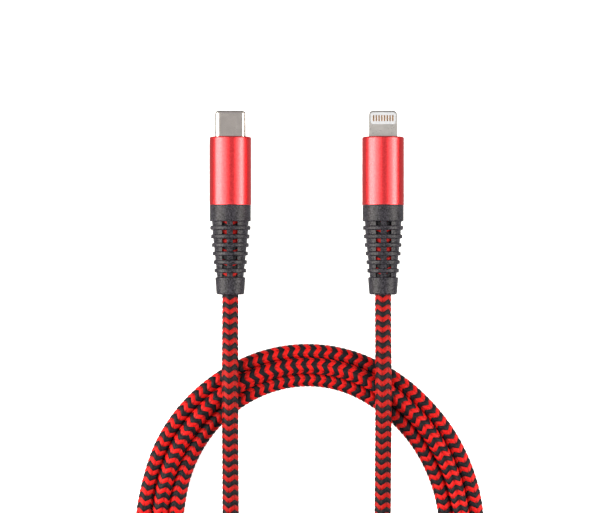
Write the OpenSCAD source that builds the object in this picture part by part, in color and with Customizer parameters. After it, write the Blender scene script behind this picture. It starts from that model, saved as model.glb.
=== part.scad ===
// Braided charging cable with a type-C plug on one end and an eight-contact plug on the other.
// It lies coiled on a table at z = 0, with its two plugs side by side and pointing along +Y.

/* [Layout] */
// Distance between the axes of the two plugs
plug_spacing = 41.3; // [36:0.1:60]
// Length of one end, from the tip of its plug to the tail of its boot
end_len = 49.4; // [47:0.1:54]
// Diameter of the braided cord
cord_d = 4.25; // [3.8:0.05:4.3]

/* [Sleeve] */
// Outer diameter of the metal sleeve
sleeve_d = 11.3; // [11.2:0.1:12]
// Length of the metal sleeve
sleeve_len = 18.4; // [18:0.1:20]
// Wall of the metal sleeve
sleeve_wall = 0.8; // [0.7:0.05:0.9]
// Rounding of the sleeve's front edge
sleeve_edge = 0.4; // [0.2:0.05:0.5]

/* [Boot] */
// Diameter of the boot's plain collar
collar_d = 11.1; // [10.6:0.1:11.2]
// Length of the boot's plain collar
collar_len = 4.4; // [3:0.1:5]
// Length of the ribbed stretch
ribbed_len = 15.1; // [14:0.1:17]
// Number of flexible ribs
rib_count = 6; // [4:1:7]
// Thickness of one rib
rib_t = 1.08; // [0.8:0.02:1.3]
// Diameter of the rib next to the collar
first_rib_d = 10.9; // [10:0.1:11]
// Diameter of the rib next to the tail
last_rib_d = 8.6; // [8:0.1:9.5]
// How much lower the grooves are than the ribs, on the diameter
groove_drop = 1.2; // [0.8:0.1:1.4]
// Length of the tail that grips the cord
tail_len = 4.4; // [3:0.1:5]
// Diameter of the tail at its front end
tail_front_d = 8.2; // [7.6:0.1:8.4]
// Diameter of the tail at its back end
tail_back_d = 7.5; // [7:0.1:8]
// Width of the web between two windows of a groove
window_web = 1.6; // [1.2:0.1:2]
// Width of a window that shows the braid
window_w = 1.3; // [1:0.1:1.8]
// Diameter of the braid where it is spread under the groove next to the tail
swell_back_d = 6.3; // [5.8:0.1:6.4]
// Diameter of the braid where it is spread under the groove next to the collar
swell_front_d = 8.3; // [7.8:0.1:8.4]

/* [Type-C plug] */
// Width of the type-C shell
shell_w = 8.25; // [8.2:0.01:8.3]
// Height of the type-C shell
shell_h = 2.4; // [2.35:0.01:2.45]
// Sheet thickness of the type-C shell
shell_t = 0.22; // [0.2:0.01:0.24]
// Width of the slot that takes the socket's tongue
slot_w = 6.74; // [6.7:0.01:6.8]
// Height of the slot that takes the socket's tongue
slot_h = 0.9; // [0.85:0.01:0.95]
// Contacts in one row of the type-C plug
type_c_contact_count = 12; // [12:1:12]
// Pitch of the type-C contacts
type_c_pitch = 0.5; // [0.5:0.01:0.5]

/* [Eight-contact plug] */
// Width of the metal tab
tab_w = 7.65; // [7.6:0.05:7.7]
// Thickness of the metal tab
tab_h = 1.5; // [1.45:0.05:1.55]
// Corner radius of the tab's tip
tab_corner = 0.9; // [0.6:0.1:1.2]
// Width of the white insert
insert_w = 6.85; // [6.8:0.05:7.05]
// Length of the white insert
insert_len = 3.3; // [3:0.1:3.5]
// Contacts on one side of the tab
tab_contact_count = 8; // [8:1:8]
// Pitch of the tab's contacts
tab_pitch = 0.74; // [0.72:0.01:0.76]
// Width of one contact of the tab
tab_contact_w = 0.38; // [0.3:0.01:0.4]
// Length of one contact of the tab
tab_contact_len = 1.7; // [1.4:0.1:1.9]

/* [Coil] */
// Coil centre, across the plugs
coil_x = 0.9; // [-3:0.1:3]
// Coil centre, along the plugs
coil_y = -84.7; // [-95:0.1:-84]
// Inner radius of the three turns
coil_inner_r = 34.2; // [33:0.1:36]
// Outer radius of the three turns
coil_outer_r = 46.2; // [45:0.1:47]
// Height of the coil where its middle turn rides up
coil_crown = 5.4; // [4.5:0.1:5.6]

/* [Hidden] */
$fn = 64;

axis_z = sleeve_d / 2;
tip_y = end_len / 2;
boot_back_y = -end_len / 2;
boot_len = collar_len + ribbed_len + tail_len;
sleeve_back_y = boot_back_y + boot_len;
sleeve_front_y = sleeve_back_y + sleeve_len;
collar_back_y = sleeve_back_y - collar_len;
tail_front_y = boot_back_y + tail_len;
groove_len = (collar_back_y - tail_front_y - rib_count * rib_t) / (rib_count + 1);
rib_step = groove_len + rib_t;
cord_r = cord_d / 2;
bore_gap = 0.02;
bore_r = cord_r + bore_gap;
spigot_len = 1.6;
spigot_r = sleeve_d / 2 - sleeve_wall - 0.05;
eps = 0.01;

// Places along one end, all on its own axis
mould_back_y = sleeve_back_y + spigot_len + 0.05;
mould_front_y = sleeve_front_y - 0.3;
ferrule_y = 1;
ferrule_len = 1.7;
ferrule_r = 2.6;
cord_end_y = ferrule_y + ferrule_len;
can_y = 5;
can_len = 7.4;
can_w = 7.9;
can_h = 3.24;
can_t = 0.2;
board_y = 5.3;
board_len = 6.9;
board_w = 7;
board_t = 0.6;
plug_back_y = 12.5;
wire_r = 0.38;
wire_spread = 1.2;

// Each lead's centre line, from its boot to the coil. The last points lie in the coil.
TYPE_C_LEAD = [
    [-20.65, -24.8, 5.65], [-20.65, -28, 5.65], [-20.65, -34, 6.4], [-20.65, -40.5, 7.4],
    [-20.65, -47, 7.9], [-20.65, -54, 7.7], [-20.65, -61, 6.8], [-20.65, -69, 5.6],
    [-20.65, -77.5, 4.3], [-20.65, -86, 3], [-20.65, -93.5, 2.2], [-20.6, -99.5, 2.2],
    [-19.6, -105.3, 2.2], [-16.7, -110.4, 2.2], [-12.2, -114.2, 2.2], [-6, -116.4, 2.2],
    [0.9, -117.2, 2.2], [8, -117.3, 2.2], [16, -116, 2.2], [24.2, -112.5, 2.2]
];
EIGHT_PIN_LEAD = [
    [20.65, -24.8, 5.65], [20.65, -28, 5.65], [20.65, -34, 6.4], [20.65, -40.5, 7.4],
    [20.65, -47, 7.9], [20.65, -54, 7.7], [20.65, -61, 6.8], [20.65, -69, 5.5],
    [20.65, -77, 4.1], [20.65, -85.5, 2.7], [20.65, -93.5, 2.3], [20.65, -102, 3.6],
    [20.65, -109, 5.3], [20, -114.1, 6.3], [18, -118.8, 6.4], [14.9, -122.9, 6.5],
    [10.8, -126, 6.1], [6, -128, 4.8], [0.9, -128.7, 3.4], [-6, -128.4, 2.6]
];
LEAD_SIDES = 8;

// Turns a shape that stands on z = 0 into one that runs along +Y from y
module along_y(y) {
    translate([0, y, 0]) rotate([-90, 0, 0]) children();
}

module centred_box(w, len, h, y, z = 0) {
    translate([-w / 2, y, z - h / 2]) cube([w, len, h]);
}

// A bar with round sides, as the type-C shell has in cross-section
module oval_bar(w, h, y, len) {
    r = h / 2;
    along_y(y) linear_extrude(len) union() {
        square([w - h, h], center = true);
        for (side = [-1, 1])
            translate([side * (w - h) / 2, 0]) circle(r);
    }
}

function normalised(v) = v / norm(v);

function tangent(path, i) =
    normalised(path[min(i + 1, len(path) - 1)] - path[max(i - 1, 0)]);

function ring(centre, along, r) =
    let (side = normalised(cross(along, [0, 0, 1])), up = cross(side, along))
    [for (k = [0:LEAD_SIDES - 1])
        let (a = 360 * (k + 0.5) / LEAD_SIDES)
        centre + r * (cos(a) * side + sin(a) * up)];

module tube_along(path, r) {
    last = len(path) - 1;
    points = [for (i = [0:last]) each ring(path[i], tangent(path, i), r)];
    sides = [for (i = [0:last - 1], k = [0:LEAD_SIDES - 1])
        let (a = i * LEAD_SIDES + k, b = i * LEAD_SIDES + (k + 1) % LEAD_SIDES)
        [a, b, b + LEAD_SIDES, a + LEAD_SIDES]];
    front = [for (k = [LEAD_SIDES - 1:-1:0]) k];
    back = [for (k = [0:LEAD_SIDES - 1]) last * LEAD_SIDES + k];
    polyhedron(points, concat(sides, [front, back]));
}

// The two ends, each on its own axis
module at_type_c_end() {
    translate([-plug_spacing / 2, 0, axis_z]) children();
}

module at_eight_pin_end() {
    translate([plug_spacing / 2, 0, axis_z]) children();
}

// Pieces that both ends have

module sleeve() {
    r = sleeve_d / 2;
    inner_r = r - sleeve_wall;
    along_y(sleeve_back_y) rotate_extrude($fn = 96) union() {
        translate([inner_r, 0]) square([sleeve_wall, sleeve_len - sleeve_edge]);
        translate([inner_r, sleeve_len - sleeve_edge - eps])
            square([sleeve_wall - sleeve_edge, sleeve_edge + eps]);
        translate([r - sleeve_edge, sleeve_len - sleeve_edge]) intersection() {
            circle(sleeve_edge);
            square(sleeve_edge);
        }
    }
}

// The braid is spread over a cone between the boot's tail and its collar, close under the
// windows. Points of its outline, with x as radius and y from the tail's back end.
function swell(gap) = [
    [cord_r + gap, tail_len - 1.6], [swell_back_d / 2 + gap, tail_len - 0.2],
    [swell_front_d / 2 + gap, tail_len + ribbed_len + 0.2],
    [cord_r + gap, tail_len + ribbed_len + 1.8]
];

// Half outline of the boot, with x as radius and y from the tail's back end
module boot_outline() {
    bevel = 0.15;
    collar_y = boot_len - collar_len;
    rib_slope = (first_rib_d - last_rib_d) / 2 / (rib_count - 1);
    polygon(concat(
        [[bore_r, 0], [tail_back_d / 2 - bevel, 0], [tail_back_d / 2, bevel]],
        [[tail_front_d / 2, tail_len - bevel], [tail_front_d / 2 - bevel, tail_len]],
        [for (i = [0:rib_count - 1])
            let (y = tail_len + groove_len + i * rib_step, r = last_rib_d / 2 + i * rib_slope)
            each [
                [r - groove_drop / 2 - rib_slope / 2, y - groove_len],
                [r - groove_drop / 2, y],
                [r - bevel, y],
                [r, y + bevel],
                [r, y + rib_t - bevel],
                [r - bevel, y + rib_t]
            ]],
        [[first_rib_d / 2 - groove_drop / 2 + rib_slope / 2, collar_y - groove_len]],
        [[first_rib_d / 2 - groove_drop / 2 + rib_slope / 2, collar_y]],
        [[collar_d / 2 - bevel, collar_y], [collar_d / 2, collar_y + bevel]],
        [[collar_d / 2, boot_len], [spigot_r, boot_len], [spigot_r, boot_len + spigot_len]],
        [[bore_r, boot_len + spigot_len]],
        [for (i = [3:-1:0]) swell(bore_gap)[i]]
    ));
}

// A window on each side of the web goes right through each groove, above and below
module boot() {
    window_x = (window_web + window_w) / 2;
    difference() {
        along_y(boot_back_y) rotate_extrude($fn = 96) boot_outline();
        for (i = [0:rib_count], side = [-1, 1])
            translate([side * window_x, tail_front_y + i * rib_step + groove_len / 2, 0])
                cube([window_w, groove_len - 0.1, collar_d], center = true);
    }
}

module cord_tail() {
    len = cord_end_y - boot_back_y;
    along_y(boot_back_y) rotate_extrude($fn = 96)
        polygon(concat([[0, 0], [cord_r, 0]], swell(0), [[cord_r, len], [0, len]]));
}

module ferrule() {
    along_y(ferrule_y) difference() {
        cylinder(h = ferrule_len, r = ferrule_r);
        translate([0, 0, -eps]) cylinder(h = ferrule_len + 2 * eps, r = bore_r);
    }
}

// A wire from the cord's end to its pad. side is left or right, face is above or below the board.
module wire(side, face) {
    start = [side * 0.5, cord_end_y + 0.1, face * 0.5];
    end = [side * wire_spread, board_y + 0.9, face * (board_t / 2 + wire_r + 0.07)];
    run = end - start;
    translate(start)
        rotate([0, acos(run[2] / norm(run)), atan2(run[1], run[0])])
            cylinder(h = norm(run), r = wire_r, $fn = 24);
}

module can_half(face) {
    scale([1, 1, face]) difference() {
        translate([-can_w / 2, can_y, 0.01]) cube([can_w, can_len, can_h / 2 - 0.01]);
        translate([-can_w / 2 + can_t, can_y - 1, -1])
            cube([can_w - 2 * can_t, can_len + 2, can_h / 2 - can_t + 1]);
    }
}

// Moulded round the board, with a hollow that fits what it holds. The child is the plug's own hole.
module inner_mould() {
    gap = 0.05;
    wire_room_w = 3.6;
    wire_room_h = 2.8;
    difference() {
        along_y(mould_back_y) cylinder(h = mould_front_y - mould_back_y, r = spigot_r);
        along_y(ferrule_y - 1) cylinder(h = ferrule_len + 1 + gap, r = ferrule_r + gap);
        centred_box(wire_room_w, can_y + 0.1 - cord_end_y, wire_room_h, cord_end_y);
        centred_box(can_w + 2 * gap, can_len + 0.15, can_h + 2 * gap, can_y - gap);
        children();
    }
}

module board_part(w, len, h, x, y, face) {
    translate([x, y, face * (board_t / 2 + h / 2)]) cube([w, len, h], center = true);
}

// Pieces of the type-C end

module type_c_shell() {
    color("Silver") at_type_c_end() difference() {
        oval_bar(shell_w, shell_h, plug_back_y, tip_y - plug_back_y);
        oval_bar(shell_w - 2 * shell_t, shell_h - 2 * shell_t, plug_back_y - 1, end_len);
    }
}

channel_h = 0.25;
channel_w = 0.3;
slot_back_y = tip_y - 6.2;
housing_back_y = plug_back_y + 0.2;
housing_front_y = tip_y - 0.25;
latch_slot_h = 0.6;
latch_slot_w = 0.28;
ground_y = tip_y - 1.6;
ground_len = 1.1;

module type_c_housing() {
    color("DimGray") at_type_c_end() difference() {
        oval_bar(
            shell_w - 2 * shell_t - 0.04, shell_h - 2 * shell_t - 0.04,
            housing_back_y, housing_front_y - housing_back_y
        );
        centred_box(slot_w, end_len, slot_h, slot_back_y);
        for (i = [0:type_c_contact_count - 1])
            translate([(i - (type_c_contact_count - 1) / 2) * type_c_pitch, 0, 0])
                centred_box(channel_w, ground_y - plug_back_y - 0.4, slot_h + 2 * channel_h, plug_back_y);
        for (side = [-1, 1])
            translate([side * (slot_w + latch_slot_w) / 2, 0, 0])
                centred_box(latch_slot_w, ground_y - plug_back_y, latch_slot_h, plug_back_y);
        centred_box(5.6, ground_len + 0.1, slot_h + 0.3, ground_y - 0.05);
    }
}

// Side view of one spring contact, seen along the row: y along the plug, z away from its middle
module contact_profile() {
    t = 0.1;
    flat_z = slot_h / 2 + 0.1;
    pad_z = board_t / 2 + 0.02;
    back_y = plug_back_y - 1.2;
    bump_y = tip_y - 3.7;
    front_y = tip_y - 2.2;
    polygon([
        [back_y, pad_z], [plug_back_y - 0.4, pad_z], [plug_back_y, flat_z],
        [bump_y - 1.4, flat_z], [bump_y, flat_z - 0.3], [front_y, flat_z],
        [front_y, flat_z + t], [bump_y, flat_z - 0.3 + t], [bump_y - 1.4, flat_z + t],
        [plug_back_y - 0.05, flat_z + t], [plug_back_y - 0.45, pad_z + t], [back_y, pad_z + t]
    ]);
}

module type_c_contact_row(face) {
    contact_w = 0.22;
    at_type_c_end() scale([1, 1, face])
        for (i = [0:type_c_contact_count - 1])
            translate([(i - (type_c_contact_count - 1) / 2) * type_c_pitch - contact_w / 2, 0, 0])
                rotate([90, 0, 90]) linear_extrude(contact_w) contact_profile();
}

module type_c_upper_contacts() {
    color("Gold") type_c_contact_row(1);
}

module type_c_lower_contacts() {
    color("Gold") type_c_contact_row(-1);
}

module type_c_latch_springs() {
    t = 0.14;
    arm_x = slot_w / 2 + 0.08;
    bump_y = tip_y - 4.2;
    color("LightGray") at_type_c_end()
        for (side = [-1, 1])
            scale([side, 1, 1]) translate([0, 0, -0.25]) linear_extrude(0.5) polygon([
                [arm_x, housing_back_y + 0.1], [arm_x, bump_y - 1.6], [arm_x - 0.3, bump_y],
                [arm_x, bump_y + 1.2], [arm_x + t, bump_y + 1.2], [arm_x - 0.3 + t, bump_y],
                [arm_x + t, bump_y - 1.6], [arm_x + t, housing_back_y + 0.1]
            ]);
}

module type_c_ground_springs() {
    color("LightGray") at_type_c_end()
        for (face = [-1, 1])
            centred_box(5.5, ground_len, 0.1, ground_y, face * (slot_h / 2 + 0.08));
}

module type_c_board() {
    color("ForestGreen") at_type_c_end()
        centred_box(board_w, board_len, board_t, board_y);
}

module type_c_board_parts() {
    color("DarkSlateGray") at_type_c_end() {
        board_part(2, 2, 0.7, 0, 8.9, 1);
        board_part(0.6, 1, 0.4, -2.2, 8.9, 1);
        board_part(0.6, 1, 0.4, 2.2, 8.9, 1);
        board_part(1, 0.6, 0.4, 0, 8.9, -1);
    }
}

module type_c_upper_can() {
    color("Silver") at_type_c_end() can_half(1);
}

module type_c_lower_can() {
    color("Silver") at_type_c_end() can_half(-1);
}

module type_c_inner_mould() {
    color("DimGray") at_type_c_end() inner_mould()
        oval_bar(shell_w + 0.04, shell_h + 0.04, plug_back_y - 0.2, end_len);
}

module type_c_ferrule() {
    color("Silver") at_type_c_end() ferrule();
}

module type_c_power_wire() {
    color("Red") at_type_c_end() wire(-1, 1);
}

module type_c_ground_wire() {
    color("Black") at_type_c_end() wire(1, 1);
}

module type_c_data_plus_wire() {
    color("Green") at_type_c_end() wire(-1, -1);
}

module type_c_data_minus_wire() {
    color("White") at_type_c_end() wire(1, -1);
}

module type_c_sleeve() {
    color("Crimson") at_type_c_end() sleeve();
}

module type_c_boot() {
    color("#35333A") at_type_c_end() boot();
}

module type_c_cord_tail() {
    color("Firebrick") at_type_c_end() cord_tail();
}

// Pieces of the eight-contact end

tab_rim = 0.4;
insert_y = tip_y - tab_rim - insert_len;
insert_corner = 0.7;
tongue_w = 6;
contact_y = insert_y + (insert_len - tab_contact_len) / 2;

module rounded_plate(w, len, h, corner) {
    translate([0, 0, -h / 2]) linear_extrude(h) union() {
        translate([-w / 2, corner]) square([w, len - 2 * corner]);
        translate([-w / 2 + corner, 0]) square([w - 2 * corner, len]);
        for (side = [-1, 1], y = [corner, len - corner])
            translate([side * (w / 2 - corner), y]) circle(corner, $fn = 32);
    }
}

// The board's tongue runs through the tab and the insert, and carries the contacts
module tongue_slot() {
    start_y = plug_back_y - 0.1;
    centred_box(tongue_w + 0.1, contact_y + tab_contact_len + 0.15 - start_y, board_t + 0.04, start_y);
}

module eight_pin_tab() {
    detent_r = 0.5;
    color("Silver") at_eight_pin_end() difference() {
        intersection() {
            translate([0, plug_back_y - 2, 0])
                rounded_plate(tab_w, tip_y - plug_back_y + 2, tab_h, tab_corner);
            centred_box(tab_w, end_len, tab_h, plug_back_y);
        }
        translate([0, insert_y, 0]) rounded_plate(insert_w, insert_len, 2 * tab_h, insert_corner);
        tongue_slot();
        for (side = [-1, 1])
            translate([side * (tab_w / 2 + 0.2), tip_y - 4.9, -0.35]) cylinder(h = 0.7, r = detent_r);
    }
}

module eight_pin_insert() {
    color("WhiteSmoke") at_eight_pin_end() difference() {
        translate([0, insert_y + 0.01, 0])
            rounded_plate(insert_w - 0.02, insert_len - 0.02, tab_h + 0.04, insert_corner);
        tongue_slot();
        for (i = [0:tab_contact_count - 1])
            translate([(i - (tab_contact_count - 1) / 2) * tab_pitch, 0, 0])
                centred_box(tab_contact_w + 0.02, tab_contact_len + 0.02, 2 * tab_h, contact_y - 0.01);
    }
}

module eight_pin_contact_row(face) {
    bottom = board_t / 2 + 0.01;
    top = tab_h / 2 + 0.01;
    at_eight_pin_end()
        for (i = [0:tab_contact_count - 1])
            translate([(i - (tab_contact_count - 1) / 2) * tab_pitch, 0, 0])
                centred_box(
                    tab_contact_w, tab_contact_len, top - bottom, contact_y, face * (top + bottom) / 2
                );
}

module eight_pin_upper_contacts() {
    color("Gold") eight_pin_contact_row(1);
}

module eight_pin_lower_contacts() {
    color("Gold") eight_pin_contact_row(-1);
}

module eight_pin_board() {
    tongue_y = board_y + board_len;
    color("ForestGreen") at_eight_pin_end() union() {
        centred_box(board_w, board_len, board_t, board_y);
        centred_box(tongue_w, contact_y + tab_contact_len + 0.1 - tongue_y + eps, board_t, tongue_y - eps);
    }
}

module eight_pin_board_parts() {
    color("DarkSlateGray") at_eight_pin_end() {
        board_part(1.6, 1.6, 0.6, -1.3, 9, 1);
        board_part(1.6, 1.6, 0.6, 1.3, 9, 1);
        board_part(2, 1.6, 0.6, 0, 9, -1);
        board_part(0.5, 1, 0.3, 2.6, 9, -1);
    }
}

module eight_pin_upper_can() {
    color("Silver") at_eight_pin_end() can_half(1);
}

module eight_pin_lower_can() {
    color("Silver") at_eight_pin_end() can_half(-1);
}

module eight_pin_inner_mould() {
    color("DimGray") at_eight_pin_end() inner_mould()
        centred_box(tab_w + 0.04, end_len, tab_h + 0.04, plug_back_y - 0.2);
}

module eight_pin_ferrule() {
    color("Silver") at_eight_pin_end() ferrule();
}

module eight_pin_power_wire() {
    color("Red") at_eight_pin_end() wire(-1, 1);
}

module eight_pin_ground_wire() {
    color("Black") at_eight_pin_end() wire(1, 1);
}

module eight_pin_data_plus_wire() {
    color("Green") at_eight_pin_end() wire(-1, -1);
}

module eight_pin_data_minus_wire() {
    color("White") at_eight_pin_end() wire(1, -1);
}

module eight_pin_sleeve() {
    color("Crimson") at_eight_pin_end() sleeve();
}

module eight_pin_boot() {
    color("#35333A") at_eight_pin_end() boot();
}

module eight_pin_cord_tail() {
    color("Firebrick") at_eight_pin_end() cord_tail();
}

// The free cord

module cord_type_c_lead() {
    color("Firebrick") tube_along(TYPE_C_LEAD, cord_r);
}

module cord_eight_pin_lead() {
    color("Firebrick") tube_along(EIGHT_PIN_LEAD, cord_r);
}

// Three turns side by side, with the middle one riding up between its neighbours
module cord_coil() {
    inner = coil_inner_r + cord_r;
    outer = coil_outer_r - cord_r;
    middle = (inner + outer) / 2;
    color("Firebrick") translate([coil_x, coil_y, 0]) rotate_extrude($fn = 128) union() {
        for (x = [inner, outer])
            translate([x, cord_r]) circle(cord_r, $fn = 32);
        polygon([
            [inner, 0], [outer, 0], [outer, cord_d],
            [middle + 1, coil_crown], [middle - 1, coil_crown], [inner, cord_d]
        ]);
    }
}

type_c_shell();
type_c_housing();
type_c_upper_contacts();
type_c_lower_contacts();
type_c_latch_springs();
type_c_ground_springs();
type_c_board();
type_c_board_parts();
type_c_upper_can();
type_c_lower_can();
type_c_inner_mould();
type_c_ferrule();
type_c_power_wire();
type_c_ground_wire();
type_c_data_plus_wire();
type_c_data_minus_wire();
type_c_sleeve();
type_c_boot();
type_c_cord_tail();
eight_pin_tab();
eight_pin_insert();
eight_pin_upper_contacts();
eight_pin_lower_contacts();
eight_pin_board();
eight_pin_board_parts();
eight_pin_upper_can();
eight_pin_lower_can();
eight_pin_inner_mould();
eight_pin_ferrule();
eight_pin_power_wire();
eight_pin_ground_wire();
eight_pin_data_plus_wire();
eight_pin_data_minus_wire();
eight_pin_sleeve();
eight_pin_boot();
eight_pin_cord_tail();
cord_type_c_lead();
cord_coil();
cord_eight_pin_lead();
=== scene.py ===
"""Looks of the braided charging cable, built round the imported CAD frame. Metres throughout."""

import math

import bmesh
import bpy
import numpy as np
from mathutils import Matrix, Vector


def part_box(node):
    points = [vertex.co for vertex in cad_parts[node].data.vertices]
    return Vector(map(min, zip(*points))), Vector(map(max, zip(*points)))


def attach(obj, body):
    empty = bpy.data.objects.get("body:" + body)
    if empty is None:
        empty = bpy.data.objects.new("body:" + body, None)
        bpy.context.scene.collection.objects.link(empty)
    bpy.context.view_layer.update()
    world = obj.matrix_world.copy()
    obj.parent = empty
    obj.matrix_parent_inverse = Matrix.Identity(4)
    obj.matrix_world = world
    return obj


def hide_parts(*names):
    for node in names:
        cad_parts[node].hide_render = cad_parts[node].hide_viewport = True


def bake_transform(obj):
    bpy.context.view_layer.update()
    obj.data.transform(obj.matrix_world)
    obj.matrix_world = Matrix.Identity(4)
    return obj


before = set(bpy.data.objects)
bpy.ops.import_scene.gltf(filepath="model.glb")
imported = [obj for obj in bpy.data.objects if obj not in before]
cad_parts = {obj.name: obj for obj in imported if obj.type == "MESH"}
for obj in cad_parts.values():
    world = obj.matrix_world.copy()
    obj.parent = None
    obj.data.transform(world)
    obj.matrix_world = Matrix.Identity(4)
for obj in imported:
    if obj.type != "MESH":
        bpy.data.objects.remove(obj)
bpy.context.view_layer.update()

MM = 0.001
ENDS = ("type_c", "eight_pin")

# ---------------------------------------------------------------- places read from the frame

sleeve_lo, sleeve_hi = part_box("type_c_sleeve")
boot_lo, boot_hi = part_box("type_c_boot")
shell_lo, shell_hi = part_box("type_c_shell")
tab_lo, tab_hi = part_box("eight_pin_tab")
insert_lo, insert_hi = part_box("eight_pin_insert")
bars_lo, bars_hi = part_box("eight_pin_upper_contacts")

SLEEVE_R = (sleeve_hi[0] - sleeve_lo[0]) / 2
AXIS_X = {"type_c": (sleeve_lo[0] + sleeve_hi[0]) / 2, "eight_pin": (tab_lo[0] + tab_hi[0]) / 2}
AXIS_Z = SLEEVE_R
SLEEVE_BACK, SLEEVE_FRONT = sleeve_lo[1], sleeve_hi[1]
BOOT_BACK, BOOT_FRONT = boot_lo[1], boot_hi[1]
PLUG_BACK, TIP = shell_lo[1], shell_hi[1]

# ---------------------------------------------------------------- the cord's route

CORD_R = 2.125 * MM
CORD_Z = AXIS_Z / MM
INSIDE_BOOT = (2.7, -6, -15)  # mm along Y, where the cord runs straight through each boot

# Each lead's centre line from its boot to the coil, in mm, as the CAD has it
TYPE_C_LEAD = [
    (-20.65, -24.8, 5.65), (-20.65, -28, 5.65), (-20.65, -34, 6.4), (-20.65, -40.5, 7.4),
    (-20.65, -47, 7.9), (-20.65, -54, 7.7), (-20.65, -61, 6.8), (-20.65, -69, 5.6),
    (-20.65, -77.5, 4.3), (-20.65, -86, 3), (-20.65, -93.5, 2.2), (-20.6, -99.5, 2.2),
    (-19.6, -105.3, 2.2), (-16.7, -110.4, 2.2), (-12.2, -114.2, 2.2), (-6, -116.4, 2.2),
    (0.9, -117.2, 2.2), (8, -117.3, 2.2), (16, -116, 2.2), (24.2, -112.5, 2.2),
]
EIGHT_PIN_LEAD = [
    (20.65, -24.8, 5.65), (20.65, -28, 5.65), (20.65, -34, 6.4), (20.65, -40.5, 7.4),
    (20.65, -47, 7.9), (20.65, -54, 7.7), (20.65, -61, 6.8), (20.65, -69, 5.5),
    (20.65, -77, 4.1), (20.65, -85.5, 2.7), (20.65, -93.5, 2.3), (20.65, -102, 3.6),
    (20.65, -109, 5.3), (20, -114.1, 6.3), (18, -118.8, 6.4), (14.9, -122.9, 6.5),
    (10.8, -126, 6.1), (6, -128, 4.8), (0.9, -128.7, 3.4), (-6, -128.4, 2.6),
]
COIL_CENTRE = (0.9, -84.7)
COIL_START = -50  # degrees, where the first turn begins
COIL_TURN = 1022  # degrees, from there to the end of the coil
COIL_STEP = 14  # degrees between points of the coil
SHIFT = 40  # degrees over which each turn moves out to the next track
REST_Z = 2.2
TURN_GAP = 4.25  # mm between the centres of two turns that touch
SPACING = 0.5 * MM  # of the resampled centre line


def bump(angle, at, width):
    """1 at one angle, falling to 0 a width away, in degrees."""
    off = (angle - at + 180) % 360 - 180
    return math.exp(-((off / width) ** 2))


def track_radius(track, angle):
    """Radius in mm of the inner (1), middle (2) or outer (3) turn at an angle round the coil."""
    inner = 36 + 0.9 * bump(angle, 92, 40) - 0.3 * bump(angle, 20, 40)
    inner += 2.1 * bump(angle, -15, 22) + 1.2 * bump(angle, 195, 15) - 0.7 * bump(angle, 50, 25)
    outer = 44.2 - 1.3 * bump(angle, 45, 32) - 0.3 * bump(angle, 128, 20)
    outer += 1.4 * bump(angle, -15, 22) + 2.1 * bump(angle, 195, 15)
    return inner + (outer - inner) * (track - 1) / 2


def smooth(t):
    t = min(max(t, 0), 1)
    return t * t * (3 - 2 * t)


def coil_points():
    """The coil's centre line: three turns, each moving out a track over its last degrees."""
    points = []
    for turned in range(COIL_STEP, COIL_TURN, COIL_STEP):
        turn, within = divmod(turned, 360)
        angle = (COIL_START + turned) % 360
        track = 1 + turn + (smooth((within - 360 + SHIFT) / SHIFT) if turn < 2 else 0)
        gap = (track_radius(3, angle) - track_radius(1, angle)) / 2
        ride_up = math.sqrt(max(TURN_GAP**2 - gap**2, 0)) * (1 - abs(track - 2))
        r = track_radius(track, angle)
        a = math.radians(angle)
        x, y = COIL_CENTRE[0] + r * math.cos(a), COIL_CENTRE[1] + r * math.sin(a)
        points.append((x, y, REST_Z + ride_up))
    return points


def spline(points, spacing):
    """A smooth line through the points, resampled at even steps."""
    p = np.array(points, float)
    p = np.vstack([2 * p[0] - p[1], p, 2 * p[-1] - p[-2]])
    knots = np.concatenate([[0], np.cumsum(np.sqrt(np.linalg.norm(np.diff(p, axis=0), axis=1)))])
    fine = []
    for i in range(1, len(p) - 2):
        t0, t1, t2, t3 = knots[i - 1 : i + 3]
        t = np.linspace(t1, t2, 40, endpoint=False)[:, None]
        a1 = (t1 - t) / (t1 - t0) * p[i - 1] + (t - t0) / (t1 - t0) * p[i]
        a2 = (t2 - t) / (t2 - t1) * p[i] + (t - t1) / (t2 - t1) * p[i + 1]
        a3 = (t3 - t) / (t3 - t2) * p[i + 1] + (t - t2) / (t3 - t2) * p[i + 2]
        b1 = (t2 - t) / (t2 - t0) * a1 + (t - t0) / (t2 - t0) * a2
        b2 = (t3 - t) / (t3 - t1) * a2 + (t - t1) / (t3 - t1) * a3
        fine.append((t2 - t) / (t2 - t1) * b1 + (t - t1) / (t2 - t1) * b2)
    fine = np.vstack([*fine, p[-2:-1]])
    along = np.concatenate([[0], np.cumsum(np.linalg.norm(np.diff(fine, axis=0), axis=1))])
    at = np.linspace(0, along[-1], max(2, round(along[-1] / spacing)))
    return np.stack([np.interp(at, along, fine[:, k]) for k in range(3)], axis=1)


class Line:
    """A centre line with a frame that doesn't twist about it."""

    def __init__(self, points):
        self.points = points
        steps = np.linalg.norm(np.diff(points, axis=0), axis=1)
        self.at = np.concatenate([[0], np.cumsum(steps)])
        self.length = self.at[-1]
        tangents = np.gradient(points, axis=0)
        tangents /= np.linalg.norm(tangents, axis=1)[:, None]
        up = np.array([0.0, 0.0, 1.0])
        ups = []
        for t in tangents:
            up = up - t * (up @ t)
            up /= np.linalg.norm(up)
            ups.append(up)
        self.up = np.array(ups)
        self.side = np.cross(tangents, self.up)

    def place(self, s, angle, r):
        """Points at distance s along the line, at an angle from its up, at radius r."""
        c, u, w = (
            np.stack([np.interp(s, self.at, v[:, k]) for k in range(3)], axis=-1)
            for v in (self.points, self.up, self.side)
        )
        return c + r[..., None] * (np.cos(angle)[..., None] * u + np.sin(angle)[..., None] * w)


# ---------------------------------------------------------------- material helpers


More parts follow.
